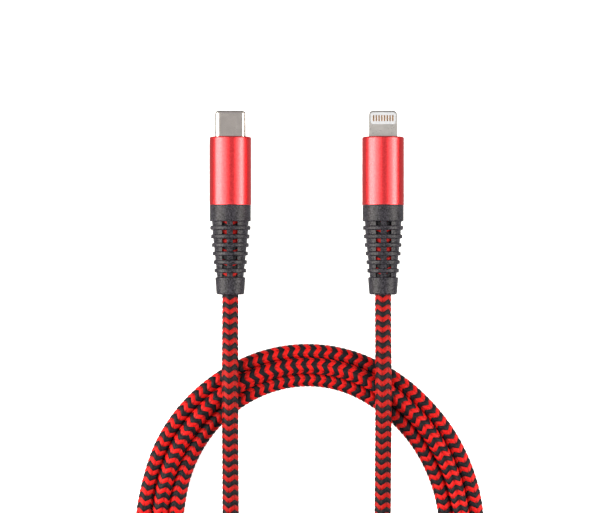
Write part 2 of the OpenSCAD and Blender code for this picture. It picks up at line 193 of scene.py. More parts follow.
def new_material(name, base, **sockets):
    """A node material whose even values sit on the shader's own sockets."""
    material = bpy.data.materials.new(name)
    material.use_nodes = True
    shader = shader_of(material)
    shader.inputs["Base Color"].default_value = (*base, 1)
    for socket, value in sockets.items():
        shader.inputs[socket.replace("_", " ")].default_value = value
    material.diffuse_color = (*base, 1)
    return material


def shader_of(material):
    return material.node_tree.nodes["Principled BSDF"]


def node(material, kind, **values):
    made = material.node_tree.nodes.new(kind)
    for name, value in values.items():
        if name in made.inputs:
            made.inputs[name].default_value = value
        else:
            setattr(made, name, value)
    return made


def link(material, a, a_name, b, b_name):
    material.node_tree.links.new(a.outputs[a_name], b.inputs[b_name])


def scaled(material, scale, source):
    """Object or UV coordinates, scaled along each axis."""
    coordinates = node(material, "ShaderNodeTexCoord")
    mapping = node(material, "ShaderNodeMapping", Scale=scale)
    link(material, coordinates, source, mapping, "Vector")
    return mapping


def add_noise(material, scale, detail=3.0, source="Object"):
    if not isinstance(scale, tuple):
        scale = (scale, scale, scale)
    noise = node(material, "ShaderNodeTexNoise", Scale=1.0, Detail=detail, Roughness=0.6)
    link(material, scaled(material, scale, source), "Vector", noise, "Vector")
    return noise


def vary_colour(material, noise, dark, light, low=0.35, high=0.65):
    ramp = node(material, "ShaderNodeValToRGB")
    for element, position, colour in zip(ramp.color_ramp.elements, (low, high), (dark, light)):
        element.position = position
        element.color = (*colour, 1)
    link(material, noise, "Fac", ramp, "Fac")
    link(material, ramp, "Color", shader_of(material), "Base Color")
    return ramp


NOISE_SPAN = (0.3, 0.7)  # what most of a noise's values lie between


def vary_roughness(material, noise, low, high):
    spread = node(material, "ShaderNodeMapRange")
    spread.inputs["From Min"].default_value, spread.inputs["From Max"].default_value = NOISE_SPAN
    spread.inputs["To Min"].default_value = low
    spread.inputs["To Max"].default_value = high
    link(material, noise, "Fac", spread, "Value")
    link(material, spread, "Result", shader_of(material), "Roughness")


def add_bump(material, height, strength, distance):
    made = node(material, "ShaderNodeBump", Strength=strength, Distance=distance)
    link(material, height, "Fac", made, "Height")
    link(material, made, "Normal", shader_of(material), "Normal")


MIX_SHARE, MIX_A, MIX_B, MIX_RESULT = 0, 6, 7, 2  # a colour Mix node's sockets


def mixed(material, share, a, b, blend_type="MIX"):
    """A colour from a to b by a share. Colours may be sockets or plain, and so may the share."""
    mix = node(material, "ShaderNodeMix", data_type="RGBA", blend_type=blend_type)
    for index, value in ((MIX_SHARE, share), (MIX_A, a), (MIX_B, b)):
        if isinstance(value, bpy.types.NodeSocket):
            material.node_tree.links.new(value, mix.inputs[index])
        else:
            mix.inputs[index].default_value = value if index == MIX_SHARE else (*value, 1)
    return mix.outputs[MIX_RESULT]


def by_attribute(material, attribute, a, b):
    """A colour that goes from a to b as a mesh attribute goes from 0 to 1."""
    share = node(material, "ShaderNodeAttribute", attribute_name=attribute)
    return mixed(material, share.outputs["Fac"], a, b)


def wear_at(material, ramp, grain, places, reach, colour):
    """Blends the colour towards a worn one near some places along Y, broken up by the grain."""
    coordinates = node(material, "ShaderNodeTexCoord")
    split = node(material, "ShaderNodeSeparateXYZ")
    link(material, coordinates, "Object", split, "Vector")
    nearest = None
    for place in places:
        off = node(material, "ShaderNodeMath", operation="SUBTRACT")
        off.inputs[1].default_value = place
        link(material, split, "Y", off, 0)
        distance = node(material, "ShaderNodeMath", operation="ABSOLUTE")
        link(material, off, "Value", distance, 0)
        if nearest is not None:
            least = node(material, "ShaderNodeMath", operation="MINIMUM")
            link(material, nearest, "Value", least, 0)
            link(material, distance, "Value", least, 1)
            distance = least
        nearest = distance
    worn = node(material, "ShaderNodeMapRange")
    worn.inputs["From Min"].default_value = reach
    worn.inputs["From Max"].default_value = 0
    link(material, nearest, "Value", worn, "Value")
    broken = node(material, "ShaderNodeMath", operation="MULTIPLY")
    link(material, worn, "Result", broken, 0)
    link(material, grain, "Fac", broken, 1)
    worn_colour = mixed(material, broken.outputs["Value"], ramp.outputs["Color"], colour)
    material.node_tree.links.new(worn_colour, shader_of(material).inputs["Base Color"])


# ---------------------------------------------------------------- materials


def anodised_red():
    """Bead-blasted aluminium under a red anodic film, with a satin sheen and paler edges."""
    m = new_material(
        "red_anodised", (0.66, 0.020, 0.027), Metallic=1.0, Specular_Tint=(0.9, 0.14, 0.14, 1),
        Coat_Weight=0.65, Coat_Roughness=0.28,
    )
    grain = add_noise(m, 2600, detail=3.0)
    speckle = add_noise(m, 2200, detail=1.0)
    ramp = vary_colour(m, speckle, (0.61, 0.014, 0.020), (0.71, 0.027, 0.034))
    wear_at(m, ramp, grain, (SLEEVE_BACK, SLEEVE_FRONT), 0.25 * MM, (0.86, 0.20, 0.22))
    vary_roughness(m, grain, 0.27, 0.37)
    add_bump(m, grain, 0.5, 0.055 * MM)
    return m


def boot_rubber():
    """Soft black plastic with the fine spark-eroded grain of its mould."""
    m = new_material("boot_black", (0.0085, 0.007, 0.0135), Specular_IOR_Level=0.17)
    grain = add_noise(m, 1900, detail=3.0)
    speckle = add_noise(m, 2600, detail=1.0)
    vary_colour(m, speckle, (0.0005, 0.0005, 0.002), (0.033, 0.030, 0.039), 0.35, 0.65)
    vary_roughness(m, grain, 0.30, 0.45)
    add_bump(m, speckle, 1.0, 0.1 * MM)
    return m


PAINTED_COIL_LIGHT = "coiled"  # the attribute that is 0 on the cord's leads and 1 in its coil, where it lightens the red yarns as painted light
PAINTED_DIP_SHADE = "painted_dip_shade"  # the attribute that rises to 1 where a yarn dips under the next one, and darkens its colour there as painted shade
# the colour that the painted shade multiplies into a yarn where it dips under the next one
PAINTED_DIP_SHADE_COLOUR = (0.2, 0.2, 0.22)
FILAMENTS = (1.2, 26, 1)  # noise scale along, across and through a yarn, per mm
FILAMENT_RAMP = (0.3, 0.62)


def yarn(name, dark, light, tint, coil=None):
    """Flat nylon yarn with filaments along it, its ends darkened by painted shade where it dips.
    The coil may have a dark and a light of its own: a lighter red that is painted light.
    """
    m = new_material(
        name, light, Sheen_Weight=0.02, Sheen_Roughness=0.4, Sheen_Tint=(*tint, 1),
        Specular_IOR_Level=0.12,
    )
    filaments = add_noise(m, FILAMENTS, detail=2.0, source="UV")
    colour = vary_colour(m, filaments, dark, light, *FILAMENT_RAMP).outputs["Color"]
    # painted light: the coil's yarns take a lighter colour of their own
    if coil:
        painted_coil_colour = vary_colour(m, filaments, *coil, *FILAMENT_RAMP).outputs["Color"]
        colour = by_attribute(m, PAINTED_COIL_LIGHT, colour, painted_coil_colour)
    # painted shade: the yarn's colour is darkened where it dips under the next one
    shade = by_attribute(m, PAINTED_DIP_SHADE, (1, 1, 1), PAINTED_DIP_SHADE_COLOUR)
    shaded = mixed(m, 1, colour, shade, blend_type="MULTIPLY")
    m.node_tree.links.new(shaded, shader_of(m).inputs["Base Color"])
    vary_roughness(m, filaments, 0.42, 0.62)
    add_bump(m, filaments, 0.55, 0.05 * MM)
    return m


def satin_metal(name, dark, light, low, high, grain_scale, grain_depth):
    """Plated metal with a fine grain and cloudy tarnish."""
    m = new_material(name, light, Metallic=1.0)
    grain = add_noise(m, grain_scale, detail=3.0)
    clouds = add_noise(m, 350, detail=3.0)
    vary_colour(m, clouds, dark, light)
    vary_roughness(m, grain, low, high)
    add_bump(m, grain, 0.25, grain_depth * MM)
    return m


def moulded(name, dark, light, low=0.35, high=0.55, **sockets):
    """Moulded plastic with a faint orange-peel surface."""
    m = new_material(name, light, **sockets)
    clouds = add_noise(m, 700, detail=3.0)
    vary_colour(m, clouds, dark, light)
    vary_roughness(m, clouds, low, high)
    add_bump(m, clouds, 0.2, 0.03 * MM)
    return m


def circuit_board():
    """Green solder mask with the ghost of copper tracks under it."""
    m = new_material("solder_mask", (0.01, 0.12, 0.04), Coat_Weight=0.4, Coat_Roughness=0.2)
    tracks = node(m, "ShaderNodeTexBrick", Scale=1.0, offset=0.5)
    tracks.inputs["Color1"].default_value = (0.008, 0.10, 0.032, 1)
    tracks.inputs["Color2"].default_value = (0.012, 0.13, 0.045, 1)
    tracks.inputs["Mortar"].default_value = (0.03, 0.24, 0.08, 1)
    tracks.inputs["Mortar Size"].default_value = 0.05
    link(m, scaled(m, (900, 900, 900), "Object"), "Vector", tracks, "Vector")
    link(m, tracks, "Color", shader_of(m), "Base Color")
    add_bump(m, tracks, 0.3, 0.02 * MM)
    vary_roughness(m, add_noise(m, 1500), 0.3, 0.45)
    return m


RED = anodised_red()
BOOT = boot_rubber()
# The red yarn's coil colours are a lighter red, painted light
YARN_RED = yarn(
    "yarn_red", (0.12, 0.001, 0.001), (0.385, 0.005, 0.003), (1.0, 0.45, 0.4),
    coil=((0.31, 0.001, 0.001), (0.475, 0.004, 0.003)),
)
YARN_BLACK = yarn("yarn_black", (0.001, 0.001, 0.002), (0.007, 0.006, 0.009), (0.6, 0.6, 0.65))
CORE = moulded("cord_core", (0.006, 0.006, 0.006), (0.012, 0.012, 0.012), 0.7, 0.9)
ALONG_PLUG = (4000, 600, 4000)
NICKEL = satin_metal(
    "satin_nickel", (0.46, 0.42, 0.395), (0.52, 0.475, 0.445), 0.12, 0.20, ALONG_PLUG, 0.001
)
TAB_NICKEL = satin_metal(
    "tab_nickel", (0.47, 0.45, 0.43), (0.54, 0.515, 0.495), 0.26, 0.38, 2600, 0.006
)
SPRING_STEEL = satin_metal(
    "spring_steel", (0.55, 0.54, 0.53), (0.65, 0.64, 0.62), 0.2, 0.35, ALONG_PLUG, 0.008
)
TINNED_STEEL = satin_metal(
    "tinned_steel", (0.50, 0.50, 0.49), (0.62, 0.62, 0.60), 0.3, 0.5, 1600, 0.01
)
GOLD = satin_metal(
    "gold_plate", (0.23, 0.135, 0.072), (0.27, 0.16, 0.085), 0.24, 0.34, ALONG_PLUG, 0.002
)
WHITE_PLASTIC = moulded("white_insert", (0.335, 0.345, 0.375), (0.355, 0.365, 0.395), 0.3, 0.42)
BLACK_PLASTIC = moulded("black_plastic", (0.016, 0.016, 0.017), (0.026, 0.026, 0.028))
CHIP = moulded("chip_black", (0.02, 0.02, 0.022), (0.035, 0.035, 0.04), 0.5, 0.7)
BOARD = circuit_board()
CARRIED_OVER = {
    "housing": BLACK_PLASTIC,
    "inner_mould": BLACK_PLASTIC,
    "upper_contacts": GOLD,
    "lower_contacts": GOLD,
    "latch_springs": SPRING_STEEL,
    "ground_springs": SPRING_STEEL,
    "board": BOARD,
    "board_parts": CHIP,
    "upper_can": TINNED_STEEL,
    "lower_can": TINNED_STEEL,
    "ferrule": TINNED_STEEL,
    "power_wire": moulded("wire_red", (0.5, 0.01, 0.01), (0.62, 0.02, 0.015)),
    "ground_wire": moulded("wire_black", (0.012, 0.012, 0.012), (0.02, 0.02, 0.02)),
    "data_plus_wire": moulded("wire_green", (0.01, 0.24, 0.05), (0.02, 0.32, 0.07)),
    "data_minus_wire": moulded("wire_white", (0.76, 0.76, 0.74), (0.84, 0.84, 0.82)),
}

# ---------------------------------------------------------------- mesh helpers


def add_object(name, vertices, faces, materials, face_materials=None):
    mesh = bpy.data.meshes.new(name)
    mesh.from_pydata(vertices, [], faces)
    for material in materials:
        mesh.materials.append(material)
    if face_materials is not None:
        mesh.polygons.foreach_set("material_index", face_materials)
    mesh.polygons.foreach_set("use_smooth", [True] * len(mesh.polygons))
    mesh.update()
    made = bpy.data.objects.new(name, mesh)
    bpy.context.scene.collection.objects.link(made)
    return made


def rounded(corners, segments=5, guard=0.1 * MM):
    """A closed outline from (x, y, radius) corners. Guards keep its straight runs flat."""
    arcs = []
    count = len(corners)
    for i in range(count):
        before, corner, after = (Vector(corners[(i + k) % count][:2]) for k in (-1, 0, 1))
        radius = corners[i][2]
        if radius == 0:
            arcs.append([corner])
            continue
        a, b = (before - corner).normalized(), (after - corner).normalized()
        half = a.angle(b) / 2
        cut = radius / math.tan(half)
        centre = corner + (a + b).normalized() * radius / math.sin(half)
        start, end = corner + a * cut - centre, corner + b * cut - centre
        turn = math.pi - 2 * half
        arc = []
        for k in range(segments + 1):
            t = k / segments
            share = (math.sin((1 - t) * turn) * start + math.sin(t * turn) * end) / math.sin(turn)
            arc.append(centre + share)
        arcs.append(arc)
    out = []
    for i, arc in enumerate(arcs):
        out += arc
        run = arcs[(i + 1) % count][0] - arc[-1]
        if run.length > 4 * guard:
            out += [arc[-1] + run.normalized() * guard, arc[-1] + run * (1 - guard / run.length)]
    return [tuple(p) for p in out]


def lofted(name, loops, materials, closed=False):
    """A surface through loops of equally many points; open ones are capped at both ends."""
    count = len(loops[0])
    faces = []
    for i in range(len(loops) if closed else len(loops) - 1):
        a, b = i * count, (i + 1) % len(loops) * count
        for k in range(count):
            m = (k + 1) % count
            faces.append((a + k, a + m, b + m, b + k))
    if not closed:
        faces.append(tuple(range(count)))
        faces.append(tuple((len(loops) - 1) * count + k for k in range(count)))
    made = add_object(name, [p for loop in loops for p in loop], faces, materials)
    mesh = bmesh.new()
    mesh.from_mesh(made.data)
    bmesh.ops.recalc_face_normals(mesh, faces=mesh.faces)
    mesh.to_mesh(made.data)
    mesh.free()
    keep_edges_sharp(made)
    return made


def revolved(name, outline, materials, segments=144):
    """A ring about the local Y axis, from a closed (radius, y) outline."""
    angles = [2 * math.pi * k / segments for k in range(segments)]
    loops = [[(r * math.sin(a), y, r * math.cos(a)) for r, y in outline] for a in angles]
    return lofted(name, loops, materials, closed=True)


SHARP = 40  # degrees: edges that turn by more than this aren't smoothed


def keep_edges_sharp(piece):
    piece.data.set_sharp_from_angle(angle=math.radians(SHARP))


def moved(piece, offset):
    piece.data.transform(Matrix.Translation(offset))
    piece.data.update()
    return piece


def cut_away(piece, cutters):
    """Takes the cutters out of the piece, and removes them."""
    for cutter in cutters:
        modifier = piece.modifiers.new("cut", "BOOLEAN")
        modifier.operation = "DIFFERENCE"
        modifier.solver = "EXACT"
        modifier.object = cutter
    evaluated = piece.evaluated_get(bpy.context.evaluated_depsgraph_get())
    mesh = bpy.data.meshes.new_from_object(evaluated)
    piece.modifiers.clear()
    piece.data = mesh
    for cutter in cutters:
        bpy.data.objects.remove(cutter)
    mesh.polygons.foreach_set("use_smooth", [True] * len(mesh.polygons))
    keep_edges_sharp(piece)


def block(name, low, high):
    corners = [(low[0], low[1]), (high[0], low[1]), (high[0], high[1]), (low[0], high[1])]
    return lofted(name, [[(x, y, z) for x, y in corners] for z in (low[2], high[2])], [])


def join(name, pieces):
    """One object from several, in one mesh."""
    mesh = bmesh.new()
    for piece in pieces:
        mesh.from_mesh(piece.data)
    whole = pieces[0]
    mesh.to_mesh(whole.data)
    mesh.free()
    whole.name = name
    for piece in pieces[1:]:
        bpy.data.objects.remove(piece)
    return whole


# ---------------------------------------------------------------- braid

COLUMNS = 8  # alternately of left-leaning and right-leaning yarns
YARN_STEP = 1.4133 * MM  # along the cord, from one yarn of a column to the next
YARN_RISE = 0.81 * YARN_STEP  # along the cord, over one column
YARN_GRID = (6, 4)  # points along and across one visible stretch of yarn
BRAID_MID_R = 2.0 * MM
BRAID_WAVE = 0.07 * MM
YARN_HALF_T = 0.2 * MM
CORE_R = 1.9 * MM
CORE_SIDES = 12
CORE_STEP = 1.6 * MM
OVERRUN = 1.2  # how far past its column a yarn shows before it dives under, in half columns
OVERLAP = 1.22  # how much wider a column's yarns are than its share of the girth
BRAID_PHASE = 0.755  # in yarn steps
BRAID_TURN = 0.11  # in columns, at the type-C end
BRAID_TWIST = math.radians(239)  # over the whole cord
BOOT_SLIDE = 1.04 * MM  # how far the yarns are pushed back under a boot's windows
PAINTED_COIL_LIGHT_FROM = (95 * MM, 150 * MM)  # from either end, over which the leads turn into the coil and the coil's painted light comes in
PAINTED_DIP_SHADE_FROM = (0.36, 0.6)  # in columns from the middle of a yarn's float, where the painted shade at its ends begins and where it is full


class Braid:
    """Every visible stretch of the yarns of a chevron braid along a line.

    u counts columns round the cord, and s is the distance along it. The yarns of even columns
    lean one way and those of odd columns the other, and each rises over its own column. The
    swell is how much wider the braid is spread at a distance along the line, and the slide is
    how far its yarns are pushed along there. The attributes say how much of a yarn's colour is
    the coil's lighter red, which is painted light, and how far its ends are darkened by painted
    shade where it dips under the next one.
    """

    def __init__(self, line, swell, slide):
        self.line, self.swell = line, swell
        arc = BRAID_MID_R * 2 * math.pi / COLUMNS * OVERLAP
        slant = math.hypot(arc, YARN_RISE)
        half_w = YARN_STEP * arc / slant / 2 * 0.97
        p, q = (
            a.ravel()
            for a in np.meshgrid(*(np.linspace(-1, 1, n) for n in YARN_GRID), indexing="ij")
        )
        index = np.arange(-1, int(line.length / YARN_STEP) + 2)
        points, uvs, red, middles, coiled, painted_dip_shade = [], [], [], [], [], []
        for column in range(COLUMNS):
            lean = 1 if column % 2 else -1
            u = column + 0.25 + 0.5 * OVERRUN * p - q * half_w * YARN_RISE / slant * lean / arc
            s = (index[:, None] + BRAID_PHASE) * YARN_STEP
            s = s + 0.5 * OVERRUN * lean * YARN_RISE * p + q * half_w * arc / slant
            s = s + slide(s)
            keep = (s.min(axis=1) > 0) & (s.max(axis=1) < line.length)
            s = s[keep]
            wave = np.cos(math.pi * (u - column - 0.25))
            flattened = wave / np.sqrt(wave**2 + 0.35) * math.sqrt(1.35)
            r = BRAID_MID_R + BRAID_WAVE * flattened + YARN_HALF_T * np.sqrt(1 - 0.93 * q**2)
            r = r + self.swell(s)
            angle = (u + BRAID_TURN) * 2 * math.pi / COLUMNS + BRAID_TWIST * s / line.length
            points.append(line.place(s, angle, r))
            shift = index[keep][:, None] * 3.7 + column * 11.3
            along = p * slant * OVERRUN / 2 / MM + shift
            across = q * half_w / MM + shift * 0.61
            uvs.append(np.stack([along, across], axis=-1))
            red.append(index[keep] % 2 == 0)
            middles.append(s.mean(axis=1))
            coiled.append(np.interp(np.minimum(s, line.length - s), PAINTED_COIL_LIGHT_FROM, (0, 1)))
            # the painted shade darkens each yarn towards its ends, where it dips under the next
            # one
            from_middle = 0.5 * OVERRUN * np.abs(p)
            painted_dip_shade.append(np.broadcast_to(np.interp(from_middle, PAINTED_DIP_SHADE_FROM, (0, 1)), s.shape))
        self.points, self.uvs, self.red, self.middles, self.coiled, self.painted_dip_shade = (
            np.concatenate(a) for a in (points, uvs, red, middles, coiled, painted_dip_shade)
        )

    def core(self, start, end):
        """The dark tube that the yarns lie on, as vertices and faces."""
        stations = max(2, int((end - start) / CORE_STEP))
        s = np.repeat(np.linspace(start, end, stations), CORE_SIDES).reshape(stations, CORE_SIDES)
        angle = np.broadcast_to(np.arange(CORE_SIDES) * 2 * math.pi / CORE_SIDES, s.shape)
        vertices = self.line.place(s, angle, CORE_R + self.swell(s)).reshape(-1, 3)
        faces = []
        for i in range(stations - 1):
            a, b = i * CORE_SIDES, (i + 1) * CORE_SIDES
            for k in range(CORE_SIDES):
                m = (k + 1) % CORE_SIDES
                faces.append((a + k, a + m, b + m, b + k))
        faces.append(tuple(range(CORE_SIDES))[::-1])
        faces.append(tuple((stations - 1) * CORE_SIDES + k for k in range(CORE_SIDES)))
        return vertices, faces

    def stretch(self, name, start, end):
        """The braid between two distances along the line, as one object."""
        keep = (self.middles >= start) & (self.middles < end)
        points, uvs, red = self.points[keep], self.uvs[keep], self.red[keep]
        per_yarn = points.shape[1]
        rows, columns = YARN_GRID
        quads = []
        for a in range(rows - 1):
            for b in range(columns - 1):
                corner = a * columns + b
                quads.append((corner, corner + columns, corner + columns + 1, corner + 1))
        starts = np.arange(len(points))[:, None, None] * per_yarn
        faces = (np.array(quads)[None] + starts).reshape(-1, 4)
        core_points, core_faces = self.core(start, end)
        first = len(points) * per_yarn
        core_faces = [tuple(first + k for k in face) for face in core_faces]
        colours = np.repeat(np.where(red, 0, 1), len(quads))
        colours = np.concatenate([colours, np.full(len(core_faces), 2)])
        made = add_object(
            name,
            np.vstack([points.reshape(-1, 3), core_points]),
            faces.tolist() + core_faces,
            [YARN_RED, YARN_BLACK, CORE],
            colours,
        )
        flat_uvs = np.vstack([uvs.reshape(-1, 2), np.zeros((len(core_points), 2))])
        corners = np.empty(len(made.data.loops), dtype=np.int32)
        made.data.loops.foreach_get("vertex_index", corners)
        layer = made.data.uv_layers.new(name="Yarn")
        layer.data.foreach_set("uv", flat_uvs[corners].ravel())
        for attribute, values in ((PAINTED_COIL_LIGHT, self.coiled), (PAINTED_DIP_SHADE, self.painted_dip_shade)):
            values = np.concatenate([values[keep].ravel(), np.zeros(len(core_points))])
            share = made.data.attributes.new(attribute, "FLOAT", "POINT")
            share.data.foreach_set("value", values)
        return made


# ---------------------------------------------------------------- camera

VIEW_CENTRE = (-1.81 * MM, -14.7 * MM)
CAMERA_HEIGHT = 0.57  # above the plugs' axes
VIEW_WIDTH = 162.2 * MM  # of the plane through the plugs' axes

camera = bpy.data.objects.new("camera", bpy.data.cameras.new("camera"))
bpy.context.scene.collection.objects.link(camera)
camera.location = (*VIEW_CENTRE, AXIS_Z + CAMERA_HEIGHT)
camera.rotation_euler = (0, 0, 0)
camera.data.sensor_width = 36
camera.data.lens = 36 * CAMERA_HEIGHT / VIEW_WIDTH
bpy.context.scene.camera = camera

# ---------------------------------------------------------------- sizes of a sleeve and a boot

SLEEVE_WALL = 0.8 * MM
COLLAR_R, COLLAR_LEN = 5.55 * MM, 4.4 * MM
RIBBED_LEN = 15.1 * MM
RIBS, RIB_T = 6, 1.08 * MM
FIRST_RIB_R, LAST_RIB_R = 5.45 * MM, 4.3 * MM  # next to the collar, and next to the tail
GROOVE_DROP = 0.6 * MM
TAIL_FRONT_R, TAIL_BACK_R = 4.1 * MM, 3.75 * MM
SPIGOT_R = SLEEVE_R - SLEEVE_WALL - 0.05 * MM
BORE_R = CORD_R + 0.13 * MM
BORE_RINGS = 18
WEB_W, WINDOW_W = 1.6 * MM, 1.3 * MM
WINDOW_INSET = 0.05 * MM  # between a window and the ribs before and behind it
COLLAR_BACK = SLEEVE_BACK - COLLAR_LEN
TAIL_FRONT = COLLAR_BACK - RIBBED_LEN
TAIL_BACK = BOOT_BACK - 0.3 * MM  # the tail's round end stands a little proud of the CAD's
SEAM = 0.03 * MM  # between a collar and its sleeve
GROOVE_LEN = (RIBBED_LEN - RIBS * RIB_T) / (RIBS + 1)
SWELL_Y = (
    TAIL_FRONT - 1.6 * MM, TAIL_FRONT - 0.2 * MM, COLLAR_BACK + 0.2 * MM, COLLAR_BACK + 1.8 * MM
)
SWELL_R = (CORD_R, 3.15 * MM, 4.15 * MM, CORD_R)

# ---------------------------------------------------------------- the cord


def inside_boot(end):
    return [(AXIS_X[end] / MM, y, CORD_Z) for y in INSIDE_BOOT]


route = [
    *inside_boot("type_c"),
    *TYPE_C_LEAD,
    *coil_points(),
    *reversed(EIGHT_PIN_LEAD),
    *reversed(inside_boot("eight_pin")),
]
cord_line = Line(spline(np.array(route) * MM, SPACING))
hidden = (INSIDE_BOOT[0] - TYPE_C_LEAD[0][1]) * MM
cord_start, cord_end = hidden, cord_line.length - hidden


def swell(s):
    """The braid is spread over a cone between each boot's tail and its collar."""
    y = INSIDE_BOOT[0] * MM - np.minimum(s, cord_line.length - s)
    return np.interp(y, SWELL_Y, SWELL_R) - CORD_R


def slide(s):
    """Under each boot's windows the yarns sit further from the plug."""
    y = INSIDE_BOOT[0] * MM - np.minimum(s, cord_line.length - s)
    away = np.where(s < cord_line.length / 2, 1, -1)
    return away * np.interp(y, (BOOT_BACK, TAIL_FRONT), (0, BOOT_SLIDE))


braid = Braid(cord_line, swell, slide)

cord = braid.stretch("braided_cord", cord_start, cord_end)
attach(cord, "cord")
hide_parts("cord_type_c_lead", "cord_coil", "cord_eight_pin_lead")

# ---------------------------------------------------------------- sleeves and boots


def on_axis(piece, end):
    return moved(piece, (AXIS_X[end], 0, AXIS_Z))


def sleeve(end):
    """A turned metal tube, with a rounded front edge and a broken back edge."""
    inner = SLEEVE_R - SLEEVE_WALL
    outline = rounded([
        (inner, SLEEVE_BACK, 0.08 * MM),
        (SLEEVE_R, SLEEVE_BACK, 0.14 * MM),
        (SLEEVE_R, SLEEVE_FRONT, 0.4 * MM),
        (inner, SLEEVE_FRONT, 0.15 * MM),
    ])
    piece = on_axis(revolved(f"{end}_red_sleeve", outline, [RED]), end)
    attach(piece, f"{end}_end")
    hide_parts(f"{end}_sleeve")


def boot_outline():
    """(radius, y, rounding) corners of the boot from the back of its bore, round its outside."""
    tight, soft, rib_round, tail_round = 0.12 * MM, 0.22 * MM, 0.24 * MM, 0.5 * MM
    slope = (FIRST_RIB_R - LAST_RIB_R) / (RIBS - 1)
    corners = [
        (BORE_R, TAIL_BACK, tight),
        (TAIL_BACK_R, TAIL_BACK, tail_round),
        (TAIL_FRONT_R, TAIL_FRONT, soft),
    ]
    for i in range(RIBS):
        r = LAST_RIB_R + i * slope
        back = TAIL_FRONT + GROOVE_LEN + i * (GROOVE_LEN + RIB_T)
        floor_r = r - GROOVE_DROP
        corners += [
            (floor_r - slope / 2, back - GROOVE_LEN, tight),
            (floor_r, back, tight),
            (r, back, rib_round),
            (r, back + RIB_T, rib_round),
        ]
    last_floor_r = FIRST_RIB_R - GROOVE_DROP + slope / 2
    corners += [
        (last_floor_r - slope / 2, COLLAR_BACK - GROOVE_LEN, tight),
        (last_floor_r, COLLAR_BACK, tight),
        (COLLAR_R, COLLAR_BACK, soft),
        (COLLAR_R, SLEEVE_BACK - SEAM, tight),
        (SPIGOT_R, SLEEVE_BACK - SEAM, 0),
        (SPIGOT_R, BOOT_FRONT, tight),
        (BORE_R, BOOT_FRONT, tight),
    ]
    # The blend only moves vertices, so a long face of the bore would cut across the bend
    bore_y = [SWELL_Y[3], *np.linspace(SWELL_Y[2], SWELL_Y[1], BORE_RINGS), SWELL_Y[0]]
    gap = BORE_R - CORD_R
    return corners + [(float(np.interp(y, SWELL_Y, SWELL_R)) + gap, float(y), 0) for y in bore_y]


def boot(end):
    """A soft ribbed strain relief. Windows beside a web in each groove show the braid."""
    outline = rounded(boot_outline(), segments=4, guard=0.06 * MM)
    piece = revolved(f"{end}_ribbed_boot", outline, [BOOT], segments=128)
    cutters = []
    for i in range(RIBS + 1):
        back = TAIL_FRONT + i * (GROOVE_LEN + RIB_T) + WINDOW_INSET
        front = back + GROOVE_LEN - 2 * WINDOW_INSET
        for side in (-1, 1):
            x = sorted((side * WEB_W / 2, side * (WEB_W / 2 + WINDOW_W)))
            cutters.append(block("window", (x[0], back, -COLLAR_R), (x[1], front, COLLAR_R)))
    cut_away(piece, cutters)
    on_axis(piece, end)
    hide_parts(f"{end}_boot")
    bends_with_boot(piece)


def bends_with_boot(piece):
    """Bakes the piece's placement into its mesh."""
    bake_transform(piece)


def cord_tail(end):
    """The stretch of the cord inside a boot, as far as its ferrule."""
    span = (0, cord_start) if end == "type_c" else (cord_end, cord_line.length)
    piece = braid.stretch(f"{end}_braid_in_boot", *span)
    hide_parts(f"{end}_cord_tail")
    bends_with_boot(piece)


for end in ENDS:
    sleeve(end)
    boot(end)
    cord_tail(end)

# ---------------------------------------------------------------- plugs

GUARD = 0.08 * MM  # from a curve to the point that keeps the flat beside it flat
INNER_LIP = 0.24 * MM  # how deep the shell's lip is rounded on its inside
LIP_STEPS, INNER_LIP_STEPS = 8, 4


def plate_outline(w, length, radius, inset=0.0):
    """A rectangle with round corners, from y = 0 to its length, drawn in by the inset."""
    half = w / 2 - inset
    corners = [
        (-half, inset, radius), (half, inset, radius),
        (half, length - inset, radius), (-half, length - inset, radius),
    ]
    return rounded(corners, segments=8, guard=GUARD)


def oval_outline(half_w, half_h, segments=20):
    """A stadium: flat above and below, round at the sides."""
    straight = half_w - half_h
    points = []
    for side in (1, -1):
        guard_x = side * (straight - GUARD)
        points.append((guard_x, -side * half_h))
        for k in range(segments + 1):
            a = math.pi * (k / segments - 0.5)
            points.append((side * (straight + half_h * math.cos(a)), side * half_h * math.sin(a)))
        points.append((guard_x, side * half_h))
    return points


def type_c_shell():
    """A deep-drawn oval tube whose front lip turns in."""
    half_w, half_h = (shell_hi[0] - shell_lo[0]) / 2, (shell_hi[2] - shell_lo[2]) / 2
    wall = 0.22 * MM
    lip_len, lip_side, lip_face = 0.8 * MM, 0.8 * MM, 0.42 * MM
    loops = []

    def ring(y, side_in, face_in):
        outline = oval_outline(half_w - side_in, half_h - face_in)
        loops.append([(x, y, z) for x, z in outline])

    ring(PLUG_BACK, 0, 0)
    ring(TIP - lip_len - 0.1 * MM, 0, 0)
    for k in range(LIP_STEPS + 1):
        a = math.radians(90 * k / LIP_STEPS)
        turned = 1 - math.cos(a)
        ring(TIP - lip_len * (1 - math.sin(a)), lip_side * turned, lip_face * turned)
    side_turn, face_turn = lip_side - wall + 0.03 * MM, lip_face - wall + 0.07 * MM
    for k in range(INNER_LIP_STEPS + 1):
        a = math.radians(90 - 90 * k / INNER_LIP_STEPS)
        turned = 1 - math.cos(a)
        y = TIP - 0.02 * MM - INNER_LIP * (1 - math.sin(a))
        ring(y, wall + side_turn * turned, wall + face_turn * turned)
    ring(PLUG_BACK, wall, wall)
    piece = on_axis(lofted("type_c_plug_shell", loops, [NICKEL], closed=True), "type_c")
    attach(piece, "type_c_end")
    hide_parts("type_c_shell")


